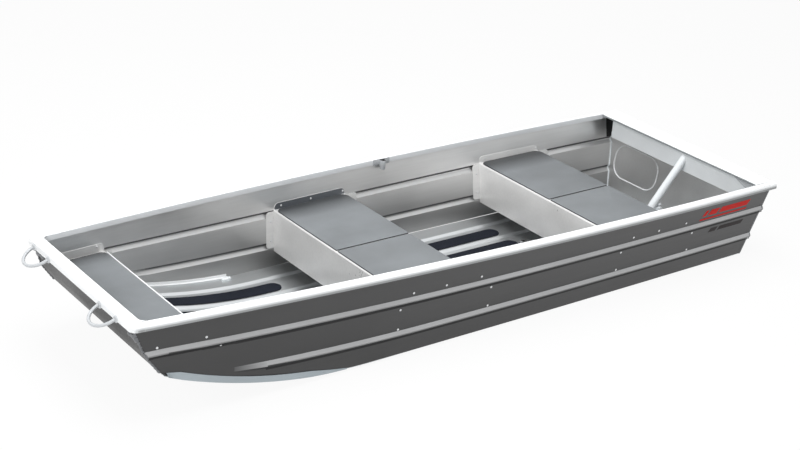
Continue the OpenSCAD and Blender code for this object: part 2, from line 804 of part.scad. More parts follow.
// Rowlock socket: bored boss on a plate against the rim's inner lip
rowlock_boss = 27;
rowlock_height = 46;
rowlock_plate_length = 96;
rowlock_plate = 4;
rowlock_stand = 0.5;
rowlock_sink = 2;
rowlock_y = half_beam(rowlock_place) - rim_width - rowlock_plate - rowlock_stand - rowlock_boss / 2;
module rowlock_socket() {
    lip = half_beam(rowlock_place + rowlock_plate_length / 2) - rim_width - seat_gap;
    back = lip - rowlock_plate;
    color(rim_colour) difference() {
        translate([rowlock_place, 0, rim_top(rowlock_place) - rowlock_sink - rowlock_height]) {
            translate([0, rowlock_y, 0]) cylinder(d = rowlock_boss, h = rowlock_height, $fn = ring_fn);
            translate([-rowlock_plate_length / 2, back, rowlock_height - rim_drop])
                cube([rowlock_plate_length, rowlock_plate, rim_drop]);
            translate([-rowlock_boss / 2, rowlock_y, rowlock_height - rim_drop])
                cube([rowlock_boss, back - rowlock_y, rim_drop]);
        }
        translate([
            rowlock_place, rowlock_y, rim_top(rowlock_place) - rowlock_sink - rowlock_height - cut_over
        ])
            cylinder(d = rowlock_bore, h = rowlock_height + 2 * cut_over, $fn = ring_fn);
    }
}

// Brace from the cap's inner face down to its stool on the floor
brace_y = 52;
brace_head_drop = 54;
brace_wall = 3;
stool_setback = 303;
stool_x = stern_end + stool_setback;
stool_length = 130;
stool_width = 84;
stool_height = 118;
stool_sheet = 4;
stool_foot = 26;
brace_head = [cap_face_x + seat_gap, brace_y, rim_top(stern_end) - brace_head_drop];
brace_foot = [stool_x, brace_y, keel_depth + bottom_sheet + stool_height + 2 * seat_gap];
module transom_brace() {
    run = brace_head - brace_foot;
    tilt = atan2(run[0], run[2]);
    reach = norm(run);
    color(rim_colour) difference() {
        translate(brace_foot) rotate([0, tilt, 0]) translate([0, 0, -brace_tube])
            difference() {
                cylinder(d = brace_tube, h = reach + 2 * brace_tube, $fn = ring_fn);
                translate([0, 0, -cut_over])
                    cylinder(d = brace_tube - 2 * brace_wall, h = reach + 2 * brace_tube + 2 * cut_over,
                        $fn = ring_fn);
            }
        translate([brace_head[0] - 2 * cap_width, brace_y - brace_tube, 0])
            cube([2 * cap_width, 2 * brace_tube, 2 * depth_stern]);
        translate([stool_x - stool_length, brace_y - brace_tube, 0])
            cube([2 * stool_length, 2 * brace_tube, brace_foot[2]]);
    }
}

module brace_stool() {
    base = keel_depth + bottom_sheet + seat_gap;
    color(rim_colour) translate([stool_x - stool_length / 2, brace_y, base]) {
        for (end = [-1, 1]) translate([0, end * (stool_width - stool_sheet) / 2 - stool_sheet / 2, 0])
            cube([stool_length, stool_sheet, stool_height]);
        translate([0, -stool_width / 2, stool_height - stool_sheet])
            cube([stool_length, stool_width, stool_sheet]);
        for (end = [0, 1]) translate([0, end == 0 ? -stool_width / 2 - stool_foot : stool_width / 2, 0])
            cube([stool_length, stool_foot, stool_sheet]);
    }
}

place() hull_bottom();
place() to_side("port") side_sheet_panel();  // side_port
place() to_side("starboard") side_sheet_panel();  // side_starboard
place() bow_plate();
place() transom_plate();
place() to_side("port") gunwale();  // gunwale_port
place() to_side("starboard") gunwale();  // gunwale_starboard
place() bow_rim();
place() transom_cap();
place() transom_oval();
place() motor_pad();
place() drain_bung();
place() to_side("port") chine_strap();  // chine_strap_port
place() to_side("starboard") chine_strap();  // chine_strap_starboard
place() to_side("port") chine_angle();  // chine_angle_port
place() to_side("starboard") chine_angle();  // chine_angle_starboard
place() bow_deck();
place() deck_pad();  // bow_deck_pad
place() seat(mid_seat_back, mid_seat_front);  // mid_seat
place() to_side("port") seat_pad(mid_seat_back, mid_seat_front);  // mid_seat_pad_port
place() to_side("starboard") seat_pad(mid_seat_back, mid_seat_front);  // mid_seat_pad_starboard
place() seat(rear_seat_back, rear_seat_front);  // rear_seat
place() to_side("port") seat_pad(rear_seat_back, rear_seat_front);  // rear_seat_pad_port
place() to_side("starboard") seat_pad(rear_seat_back, rear_seat_front);  // rear_seat_pad_starboard
place() front_strips();  // floor_strips_front
place() mid_strips();  // floor_strips_mid
place() to_side("port") bow_loop(loop_offset_port);  // bow_loop_port
place() to_side("starboard") bow_loop(loop_offset_starboard);  // bow_loop_starboard
place() to_side("port") rowlock_socket();  // rowlock_port
place() to_side("starboard") rowlock_socket();  // rowlock_starboard
place() transom_brace();
place() brace_stool();
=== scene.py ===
"""Looks of a flat-bottomed aluminium punt: skins, pads, rivets, welds, side stripes and a plain studio."""

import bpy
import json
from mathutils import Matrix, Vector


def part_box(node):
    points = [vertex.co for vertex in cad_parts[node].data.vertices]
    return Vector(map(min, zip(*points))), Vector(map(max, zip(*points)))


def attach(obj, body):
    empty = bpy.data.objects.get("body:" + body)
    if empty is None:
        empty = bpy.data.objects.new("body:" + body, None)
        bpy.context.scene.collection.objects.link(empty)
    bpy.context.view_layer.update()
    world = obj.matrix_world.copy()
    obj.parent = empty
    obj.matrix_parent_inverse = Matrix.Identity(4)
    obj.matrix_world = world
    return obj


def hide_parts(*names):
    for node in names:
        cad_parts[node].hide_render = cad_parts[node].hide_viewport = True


bl_info = {
    "name": "Aluminium punt",
    "version": (1, 0, 0),
    "blender": (4, 5, 0),
    "location": "View3D > Sidebar > Punt",
    "description": "Dresses the sheets, rims, seats and fittings of a flat-bottomed aluminium punt",
    "category": "Object",
}

import json
import math

import bpy
from bpy.props import FloatProperty, FloatVectorProperty, PointerProperty
from bpy.types import Operator, Panel, PropertyGroup
from mathutils import Matrix, Vector
from mathutils.bvhtree import BVHTree

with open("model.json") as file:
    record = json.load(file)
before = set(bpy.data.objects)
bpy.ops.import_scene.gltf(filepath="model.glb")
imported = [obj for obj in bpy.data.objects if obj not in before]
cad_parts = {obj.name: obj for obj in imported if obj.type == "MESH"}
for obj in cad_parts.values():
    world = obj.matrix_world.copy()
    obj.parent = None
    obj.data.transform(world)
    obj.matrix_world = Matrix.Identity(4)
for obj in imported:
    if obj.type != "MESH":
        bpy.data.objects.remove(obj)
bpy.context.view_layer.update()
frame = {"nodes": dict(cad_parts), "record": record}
NODES = frame["nodes"]
BODY = "root"
SIDES = {"port": 1, "starboard": -1}
UP = Vector((0, 0, 1))
AHEAD = Vector((1, 0, 0))
ACROSS = Vector((0, 1, 0))
MERGE_DISTANCE = 0.00002
# Angles below which triangles join and edges dissolve, and above which edges are eased
QUAD_ANGLE = math.radians(1)
FLAT_ANGLE = math.radians(0.2)
SHARP_ANGLE = math.radians(40)
# Fades of finishes: an axis, the two ends of the fade along it and the levels there
# Painted reflection on the outer skin: lighter upwards and towards the stern
SKIN_FADING = ((-0.08, 0.0, 0.6), (0.02, 0.39), (0.8, 1.22))
# Painted shade: the inner sheet of the sides darkens towards the floor
SHEET_FADING = ((0.0, 0.0, 1.0), (0.08, 0.26), (0.58, 1.0))
# Painted highlight fading out along the lower strake's tip
TIP_FADING = ((1.0, 0.0, 0.0), (1.1, 1.26), (1.0, 0.3))
# Painted shade: the pads darken towards their starboard ends
PAD_FADING = ((0.0, 1.0, 0.0), (-0.5, -0.37), (0.28, 1.0))
MOUNTS = {mount["name"]: Vector(mount["pos_m"]) for mount in frame["record"]["mounts"]}


# Sizes and colours that a user would change


def length(name, description, default):
    """A length in metres, shown in the sidebar."""
    return FloatProperty(
        name=name, description=description, default=default, min=0.0, precision=4, unit="LENGTH"
    )


def tint(name, description, default):
    """A linear colour, shown in the sidebar."""
    return FloatVectorProperty(
        name=name, description=description, default=default, size=3, min=0.0, max=1.0, subtype="COLOR"
    )


class PuntSizes(PropertyGroup):
    """Sizes of the pieces that dress the punt."""

    rivet_width: length("Rivet width", "Width of a rivet's head", 0.0105)
    rivet_rise: length("Rivet rise", "Height of a rivet's head", 0.003)
    bolt_width: length("Bolt width", "Width of a motor plate bolt's head", 0.022)
    bolt_rise: length("Bolt rise", "Height of a motor plate bolt's head", 0.006)
    weld_width: length("Weld width", "Width of a weld bead", 0.009)
    weld_pitch: length("Weld pitch", "Distance from one ripple of a weld to the next", 0.0055)
    rim_easing: length("Rim easing", "Radius on the sharp edges of the rims", 0.001)
    pad_easing: length("Pad easing", "Radius on the upper edges of the pads", 0.0022)
    fitting_easing: length("Fitting easing", "Radius on the edges of the fittings", 0.0008)
    stripe_rise: length("Stripe rise", "How far a side stripe stands off the sheet", 0.0004)


class PuntColours(PropertyGroup):
    """Colours of the punt's finishes."""

    sheet: tint("Sheet", "Mill-finished inner faces of the sides", (0.77, 0.77, 0.766))
    bottom: tint("Bottom", "Mill-finished inner face of the bottom", (0.74, 0.765, 0.78))
    transom: tint("Transom", "Inner face of the transom", (0.65, 0.652, 0.65))
    seat: tint("Seat", "Sheet of the seats and the deck", (0.84, 0.838, 0.83))
    # Painted shade: flange darkens the middle seat's flanges above the pads
    flange: tint("Flange", "Shadowed flanges of the middle seat", (0.2, 0.215, 0.235))
    # Painted shade inside the strakes: ledge dims the lower slopes that face up, and the darker colour below
    # shades the upper slopes that face down
    ledge: tint("Ledge", "Lower slopes of the strakes, inside", (0.6, 0.605, 0.605))
    slope_shade: tint("Tarnish", "Upper slopes of the strakes, inside", (0.13, 0.13, 0.132))
    # Painted reflection: skin and bow darken the outer faces of the hull and the bow plate, the same
    # aluminium as inside, to stand for the dark surroundings they reflect
    skin: tint("Skin", "Outer faces of the hull", (0.1, 0.1, 0.101))
    bow: tint("Bow", "Outer face of the bow plate", (0.042, 0.042, 0.043))
    # Painted highlight: strake and crest lighten the outer strakes' upper slopes and crests, where the light
    # falls
    strake: tint("Strake", "Highlit upper slopes of the strakes", (0.42, 0.425, 0.43))
    crest: tint("Crest", "Crests of the strakes", (0.25, 0.253, 0.256))
    bead: tint("Bead", "Bead pressed into the transom", (0.74, 0.75, 0.76))
    # Painted shade: near black for the strakes' undersides, also used for the shadow line under them, the
    # cavity behind the cap and the rowlock bores
    groove: tint("Groove", "Undersides of the strakes", (0.02, 0.02, 0.021))
    rim: tint("Rim", "Tops of the rims and bright fittings", (0.86, 0.875, 0.885))
    # Painted reflection: roll and flank darken the rims' outboard roll down to the flank; painted shade: lip
    # greys the inboard lips
    roll: tint("Roll", "Lower part of the rims' outboard roll", (0.62, 0.64, 0.65))
    flank: tint("Flank", "Outboard flanks of the rims", (0.3, 0.31, 0.315))
    lip: tint("Lip", "Inboard lips of the rims", (0.76, 0.78, 0.8))
    # Painted shade: the cap's lip, underside and rear faces are darkened
    cap_lip: tint("Cap lip", "Lip turned down along the transom cap", (0.27, 0.29, 0.3))
    cap_face: tint("Cap face", "Inner face of the transom cap", (0.84, 0.87, 0.885))
    loop: tint("Loop", "Bow loops and rowlock sockets", (0.56, 0.58, 0.6))
    brace: tint("Brace", "Transom brace and its stool", (0.7, 0.73, 0.75))
    strap: tint("Strap", "Seam strap along the chine", (0.40, 0.45, 0.48))
    pad: tint("Pad", "Foam pads on the seats and the deck", (0.182, 0.195, 0.205))
    # Painted shade: the pads' sides go near black for the shade in the gaps round them
    pad_side: tint("Pad side", "Cut sides of the pads", (0.016, 0.018, 0.022))
    grip: tint("Grip", "Grip strips on the floor", (0.012, 0.014, 0.02))
    weld: tint("Weld", "Weld beads", (0.82, 0.86, 0.88))
    burnt: tint("Burnt weld", "Rough welds on the outer edges", (0.19, 0.195, 0.205))
    rivet: tint("Rivet", "Rivet heads", (0.82, 0.83, 0.84))
    red: tint("Red stripe", "Side stripes", (0.6, 0.012, 0.008))
    dark: tint("Dark stripe", "Lower side stripe", (0.035, 0.03, 0.03))
    plug: tint("Plug", "Drain plug", (0.02, 0.02, 0.022))
    floor: tint("Floor", "Studio floor", (0.8, 0.8, 0.8))


# Finishes


class Finish:
    """A material and the short calls that wire its nodes."""

    def __init__(self, name):
        self.material = bpy.data.materials.new(name)
        self.material.use_nodes = True
        self.tree = self.material.node_tree
        self.shader = self.tree.nodes["Principled BSDF"]
        self.place = self.node("ShaderNodeTexCoord").outputs["Object"]

    def node(self, kind, **values):
        """A node with attributes, or with inputs where the key is an input's name. Outputs are linked."""
        made = self.tree.nodes.new(kind)
        for key, value in values.items():
            if key not in made.inputs:
                setattr(made, key, value)
            elif isinstance(value, bpy.types.NodeSocket):
                self.link(value, made.inputs[key])
            else:
                made.inputs[key].default_value = value
        return made

    def link(self, source, target):
        self.tree.links.new(source, target)

    def noise(self, stretch, detail, roughness=0.55):
        """Noise whose cells are stretched along the axes: stretch is cells to a metre on each."""
        cells = self.node("ShaderNodeMapping", Scale=stretch, Vector=self.place).outputs["Vector"]
        values = {"Scale": 1.0, "Detail": detail, "Roughness": roughness, "Vector": cells}
        return self.node("ShaderNodeTexNoise", **values).outputs["Fac"]

    def ranged(self, source, low, high, from_low=0.3, from_high=0.7):
        """A value moved into a range."""
        limits = {"From Min": from_low, "From Max": from_high, "To Min": low, "To Max": high}
        return self.node("ShaderNodeMapRange", Value=source, **limits).outputs["Result"]

    def fade(self, axis, ends, levels):
        """A level that changes from one end of a stretch along an axis to the other."""
        along = self.node("ShaderNodeVectorMath", operation="DOT_PRODUCT", Vector=self.place)
        along.inputs[1].default_value = axis
        return self.ranged(along.outputs["Value"], *levels, *ends)

    def product(self, first, second):
        made = self.node("ShaderNodeMath", operation="MULTIPLY", Value=first)
        self.link(second, made.inputs[1])
        return made.outputs["Value"]

    def shaded(self, colour, strength):
        """A colour, or the output that gives it, lightened and darkened by a value around 1."""
        made = self.node("ShaderNodeVectorMath", operation="SCALE", Vector=colour, Scale=strength)
        return made.outputs["Vector"]

    def outboard(self):
        """How the surface faces: 1 straight outboard, -1 straight inboard."""
        normal = self.node("ShaderNodeNewGeometry").outputs["Normal"]
        facing = self.node("ShaderNodeSeparateXYZ", Vector=normal).outputs["Y"]
        place = self.node("ShaderNodeSeparateXYZ", Vector=self.place).outputs["Y"]
        side = self.node("ShaderNodeMath", operation="SIGN", Value=place)
        return self.product(facing, side.outputs["Value"])

    def ramp(self, source, *stops):
        """A colour that runs through stops, each a place from 0 to 1 and a colour."""
        made = self.node("ShaderNodeValToRGB", Fac=source)
        made.color_ramp.interpolation = "EASE"
        elements = made.color_ramp.elements
        while len(elements) < len(stops):
            elements.new(1.0)
        for element, (place, colour) in zip(elements, stops):
            element.position = place
            element.color = (*colour, 1.0)
        return made.outputs["Color"]

    def bump(self, height, distance, strength, onto=None):
        made = self.node("ShaderNodeBump", Strength=strength, Distance=distance, Height=height)
        if onto is not None:
            self.link(onto, made.inputs["Normal"])
        return made.outputs["Normal"]

    def surface(self, colour=None, roughness=None, normal=None, **fixed):
        """Links what varies and sets what is the same all over."""
        for socket, source in (("Base Color", colour), ("Roughness", roughness), ("Normal", normal)):
            if source is not None:
                self.link(source, self.shader.inputs[socket])
        for key, value in fixed.items():
            self.shader.inputs[key.replace("_", " ")].default_value = value


def brushed_metal(name, colour, rough, metallic, grain=(3, 90, 90), smear=0.08, wave=0.008, fading=None):
    """Rolled sheet: fine grain along its length, soft smears and a slow waviness."""
    finish = Finish(name)
    streaks = finish.noise(grain, detail=4.0)
    smears = finish.noise((2.2, 3.1, 3.7), detail=2.0)
    level = finish.product(finish.ranged(streaks, 0.975, 1.025), finish.ranged(smears, 1 - smear, 1 + smear))
    if fading:
        level = finish.product(level, finish.fade(*fading))
    smeared = finish.ranged(smears, rough * 0.85, rough * 1.15)
    gloss = finish.product(finish.ranged(streaks, 0.9, 1.12), smeared)
    fine = finish.bump(streaks, 0.0004, 0.14)
    normal = finish.bump(finish.noise((1.7, 2.6, 2.6), detail=1.0), wave, 0.6, fine)
    finish.surface(finish.shaded(colour, level), gloss, normal, Metallic=metallic)


def coated(finish, colour, glosses, **fixed):
    """Satin coat with a faint orange peel, over a colour or the output that gives it."""
    cloud = finish.noise((5, 7, 7), detail=2.0)
    peel = finish.noise((420, 420, 420), detail=1.0)
    finish.surface(
        finish.shaded(colour, finish.ranged(cloud, 0.97, 1.02)),
        finish.ranged(cloud, *glosses),
        finish.bump(peel, 0.0002, 0.25),
        **fixed,
    )


def satin_paint(name, colour, rough, metallic=0.0, sheen=0.5):
    """Satin coat of one colour."""
    glosses = (rough * 0.88, rough * 1.15)
    coated(Finish(name), colour, glosses, Metallic=metallic, Specular_IOR_Level=sheen)


def rim_roll(name, colours):
    """Rolled rim, painted by which way its faces turn: pale on top, with painted reflection darkening its
    outboard flank and painted shade greying its inboard lip.
    """
    finish = Finish(name)
    rolled = finish.ramp(
        finish.ranged(finish.outboard(), 0.0, 1.0, -1.0, 1.0),
        (0.06, colours.lip),
        (0.3, colours.rim),
        (0.9, colours.rim),
        (0.985, colours.roll),
        (1.0, colours.flank),
    )
    coated(finish, rolled, (0.32, 0.42))


def foam_pad(name, colour):
    """Closed-cell foam with a fine leather grain, paler in rubbed patches, with painted shade darkening its
    starboard end.
    """
    finish = Finish(name)
    patches = finish.noise((3.4, 5.2, 4.0), detail=4.0)
    grain = finish.noise((900, 900, 900), detail=2.0)
    level = finish.product(finish.ranged(patches, 0.86, 1.12), finish.ranged(grain, 0.94, 1.06))
    level = finish.product(level, finish.fade(*PAD_FADING))
    finish.surface(
        finish.shaded(colour, level),
        finish.ranged(patches, 0.4, 0.52),
        finish.bump(grain, 0.0006, 0.4),
        Specular_IOR_Level=0.15,
    )


def grit_strip(name, colour):
    """Black grip strip: rubber with sharp grit."""
    finish = Finish(name)
    grit = finish.noise((700, 700, 700), detail=2.0, roughness=0.7)
    dust = finish.noise((6, 12, 6), detail=3.0)
    level = finish.product(finish.ranged(grit, 0.75, 1.3), finish.ranged(dust, 0.9, 1.15))
    finish.surface(
        finish.shaded(colour, level),
        finish.ranged(grit, 0.62, 0.85),
        finish.bump(grit, 0.0012, 0.6),
        Specular_IOR_Level=0.12,
    )


def finishes():
    """Every finish by its name, made once."""
    made = bpy.data.materials
    if "mill_sheet" not in made:
        colours = bpy.context.scene.punt_colours
        # Painted shade: the sheet darkens towards the floor
        brushed_metal("mill_sheet", colours.sheet, 0.36, 0.9, fading=SHEET_FADING)
        brushed_metal("bottom_sheet", colours.bottom, 0.34, 0.9)
        brushed_metal("transom_sheet", colours.transom, 0.38, 0.9, wave=0.012)
        brushed_metal("seat_sheet", colours.seat, 0.33, 0.5, wave=0.016)
        # Painted shade on the middle seat's flanges
        brushed_metal("seat_flange", colours.flange, 0.38, 0.8)
        # Painted shade on the strakes' slopes, inside
        brushed_metal("inner_ledge", colours.ledge, 0.42, 0.7)
        brushed_metal("inner_groove", colours.slope_shade, 0.5, 0.6)
        # Painted reflection: dark copies of the sheet for the outer faces of the hull and the bow plate
        brushed_metal("outer_skin", colours.skin, 0.46, 0.75, fading=SKIN_FADING)
        brushed_metal("bow_skin", colours.bow, 0.46, 0.75)
        # Painted highlights on the strakes' upper slopes, their tip and their crests
        brushed_metal("strake_crown", colours.strake, 0.34, 0.8, smear=0.1)
        brushed_metal("strake_tip", colours.strake, 0.34, 0.8, smear=0.1, fading=TIP_FADING)
        brushed_metal("strake_crest", colours.crest, 0.4, 0.8, smear=0.1)
        brushed_metal("pressed_bead", colours.bead, 0.3, 0.3)
        # Painted shade: near black, for the strakes' undersides and other shaded places
        brushed_metal("strake_groove", colours.groove, 0.6, 0.3, smear=0.1)
        brushed_metal("strap_alloy", colours.strap, 0.42, 0.7, grain=(20, 60, 60))
        rim_roll("rim_roll", colours)
        satin_paint("rim_coat", colours.rim, 0.36)
        # Painted shade for the cap's lip, underside and rear faces
        satin_paint("cap_lip", colours.cap_lip, 0.4)
        satin_paint("cap_face", colours.cap_face, 0.38)
        satin_paint("loop_alloy", colours.loop, 0.3, metallic=0.35)
        satin_paint("brace_coat", colours.brace, 0.34)
        foam_pad("seat_foam", colours.pad)
        # Painted shade on the sides of the pads
        grit_strip("foam_side", colours.pad_side)
        grit_strip("grip_grit", colours.grip)
        brushed_metal("weld_metal", colours.weld, 0.33, 0.35, grain=(160, 160, 160))
        brushed_metal("burnt_weld", colours.burnt, 0.3, 0.9, grain=(160, 160, 160), smear=0.3)
        satin_paint("rivet_alloy", colours.rivet, 0.3, metallic=0.7)
        satin_paint("red_film", colours.red, 0.5, sheen=0.15)
        satin_paint("dark_film", colours.dark, 0.5, sheen=0.15)
        satin_paint("plug_plastic", colours.plug, 0.5)
    return made


# Modelling by hand, in short calls


def only(*pieces):
    """Selects these objects alone, the first one active."""
    bpy.ops.object.select_all(action="DESELECT")
    for piece in pieces:
        piece.select_set(True)
    bpy.context.view_layer.objects.active = pieces[0]


def added(name, data):
    """A new object in the scene, with the mesh, lamp or camera that it shows."""
    piece = bpy.data.objects.new(name, data)
    bpy.context.scene.collection.objects.link(piece)
    return piece


def begun(add, **values):
    """The plain mesh that an operator adds, to be modelled further."""
    bpy.ops.object.select_all(action="DESELECT")
    add(**values)
    return bpy.context.object


def in_edit_mode(*steps):
    """Runs steps in edit mode on what is selected in the active piece."""
    bpy.ops.object.mode_set(mode="EDIT")
    for step in steps:
        step()
    bpy.ops.object.mode_set(mode="OBJECT")


def select_everything():
    bpy.ops.mesh.select_all(action="SELECT")


def editing(piece, *steps):
    """Runs steps in edit mode on everything in a piece."""
    only(piece)
    in_edit_mode(select_everything, *steps)


def choosing(piece, kind):
    """Clears a piece's selection and lets its corners, edges or faces be chosen."""
    only(piece)
    in_edit_mode(
        lambda: bpy.ops.mesh.select_mode(type=kind),
        lambda: bpy.ops.mesh.select_all(action="DESELECT"),
    )


def move_corners(piece, shift, test):
    """Moves the corners that pass a test."""
    choosing(piece, "VERT")
    for vertex in piece.data.vertices:
        vertex.select = test(vertex)
    in_edit_mode(lambda: bpy.ops.transform.translate(value=shift))


def paint_faces(piece, material, test):
    """Gives the faces that pass a test another finish."""
    choosing(piece, "FACE")
    for face in piece.data.polygons:
        face.select = test(face)
    if material.name not in piece.data.materials:
        piece.data.materials.append(material)
    piece.active_material_index = piece.data.materials.find(material.name)
    in_edit_mode(bpy.ops.object.material_slot_assign)


def modified(piece, kind, **values):
    """Adds a modifier and applies it."""
    only(piece)
    modifier = piece.modifiers.new(kind.title(), kind)
    for key, value in values.items():
        setattr(modifier, key, value)
    bpy.ops.object.modifier_apply(modifier=modifier.name)


def thickened(piece, thickness):
    """Gives a flat piece its thickness, half to each side."""
    modified(piece, "SOLIDIFY", thickness=thickness, offset=0.0)
    editing(piece, lambda: bpy.ops.mesh.normals_make_consistent(inside=False))


def settled(piece, name, material, crease=32):
    """Puts a finished piece on the hull: its place in its mesh, its finish, its shading."""
    piece.name = name
    piece.data.name = name
    only(piece)
    bpy.ops.object.transform_apply(location=True, rotation=True, scale=True)
    piece.data.materials.clear()
    piece.data.materials.append(material)
    bpy.ops.object.shade_smooth_by_angle(angle=math.radians(crease))
    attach(piece, BODY)


def skin_of(node, material, easing=0.0, crease=50):
    """A smooth copy of a solid, its loose triangles merged and its edges eased, which stands for it."""
    piece = added(node + "_skin", NODES[node].data.copy())
    editing(
        piece,
        bpy.ops.mesh.customdata_custom_splitnormals_clear,
        lambda: bpy.ops.mesh.remove_doubles(threshold=MERGE_DISTANCE),
        lambda: bpy.ops.mesh.tris_convert_to_quads(face_threshold=QUAD_ANGLE, shape_threshold=math.pi),
    )
    if easing:
        editing(piece, lambda: bpy.ops.mesh.dissolve_limited(angle_limit=FLAT_ANGLE))
        modified(piece, "BEVEL", width=easing, segments=2, limit_method="ANGLE", angle_limit=SHARP_ANGLE)
    settled(piece, node + "_skin", material, crease)
    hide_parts(node)
    return piece


TREES = {}


def meet(node, start, heading):
    """Where a line from start meets a solid, and the surface's normal there."""
    if node not in TREES:
        mesh = NODES[node].data
        TREES[node] = BVHTree.FromPolygons(
            [vertex.co.copy() for vertex in mesh.vertices], [tuple(face.vertices) for face in mesh.polygons]
        )
    point, normal, _, _ = TREES[node].ray_cast(Vector(start), Vector(heading))
    if point is None:
        raise RuntimeError(f"no surface of {node} lies along {heading} from {start}")
    return point, normal


def standing(point, outward, along=AHEAD):
    """A placing whose Z points outward and whose X runs along."""
    z = outward.normalized()
    x = (along - z * along.dot(z)).normalized()
    turn = Matrix((x, z.cross(x), z)).transposed().to_4x4()
    return Matrix.Translation(point) @ turn


def repeated(pattern, placings, name, material):
    """Copies of one modelled pattern at each placing, joined to one piece. The pattern itself is removed."""
    copies = []
    for placing in placings:
        copy = added(name, pattern.data.copy())
        copy.matrix_world = placing
        copies.append(copy)
    bpy.data.objects.remove(pattern)
    only(*copies)
    bpy.ops.object.join()
    settled(copies[0], name, material, crease=50)


def raised(height):
    """A step that draws the selected face up by a height."""
    return lambda: bpy.ops.mesh.extrude_region_move(TRANSFORM_OT_translate={"value": (0, 0, height)})


def narrowed(share):
    """A step that brings the selected face to a share of its width."""
    return lambda: bpy.ops.transform.resize(value=(share, share, 1))


def domed_head(width, rise, flange=0.3, margin=0.1, shoulder=(0.45, 0.8), crown=(0.25, 0.45)):
    """Low dome on a thin flange, standing on z = 0: a rivet's or a bolt's head.

    The flange is a share of the rise, its margin one of the width. The dome's two steps are shares of the
    rise, with how much each narrows.
    """
    head = begun(bpy.ops.mesh.primitive_circle_add, vertices=14, radius=width / 2, fill_type="NGON")
    editing(
        head,
        raised(rise * flange),
        lambda: bpy.ops.mesh.inset(thickness=width * margin),
        raised(rise * shoulder[0]),
        narrowed(shoulder[1]),
        raised(rise * crown[0]),
        narrowed(crown[1]),
    )
    return head


def rolled_edge(width, run):
    """Round edge that rises from z = 0 to its run, with eased ends."""
    end_run, end_share = width * 0.2, 0.7
    radius = width / 2 * end_share
    edge = begun(bpy.ops.mesh.primitive_circle_add, vertices=12, radius=radius, fill_type="NGON")
    editing(
        edge,
        raised(end_run),
        narrowed(1 / end_share),
        raised(run - 2 * end_run),
        raised(end_run),
        narrowed(end_share),
        select_everything,
        lambda: bpy.ops.mesh.normals_make_consistent(inside=False),
    )
    return edge


def pressed_on(piece, side, rise, film=0.0003):
    """Presses a flat piece on the outside of a side and gives it the thickness of a film."""
    modified(
        piece,
        "SHRINKWRAP",
        target=bpy.data.objects[f"side_{side}_skin"],
        wrap_method="PROJECT",
        use_project_y=True,
        use_negative_direction=True,
        use_positive_direction=True,
        cull_face="BACK",
        offset=rise,
    )
    thickened(piece, film)


def weld_ripple(width, pitch, overlap=1.7, flatness=0.7):
    """One ripple of a weld: a flattened drop, longer than the pitch so that neighbours overlap."""
    ripple = begun(bpy.ops.mesh.primitive_uv_sphere_add, segments=8, ring_count=5, radius=0.5)
    editing(ripple, lambda: bpy.ops.transform.resize(value=(pitch * overlap, width, width * flatness)))
    return ripple


def along_line(points, pitch):
    """Places at an even pitch along a line of points, each with its heading."""
    found = []
    rest = 0.0
    for start, end in zip(points, points[1:]):
        run = end - start
        at = rest
        while at < run.length:
            found.append((start + run.normalized() * at, run.normalized()))
            at += pitch
        rest = at - run.length
    return found


# Pieces


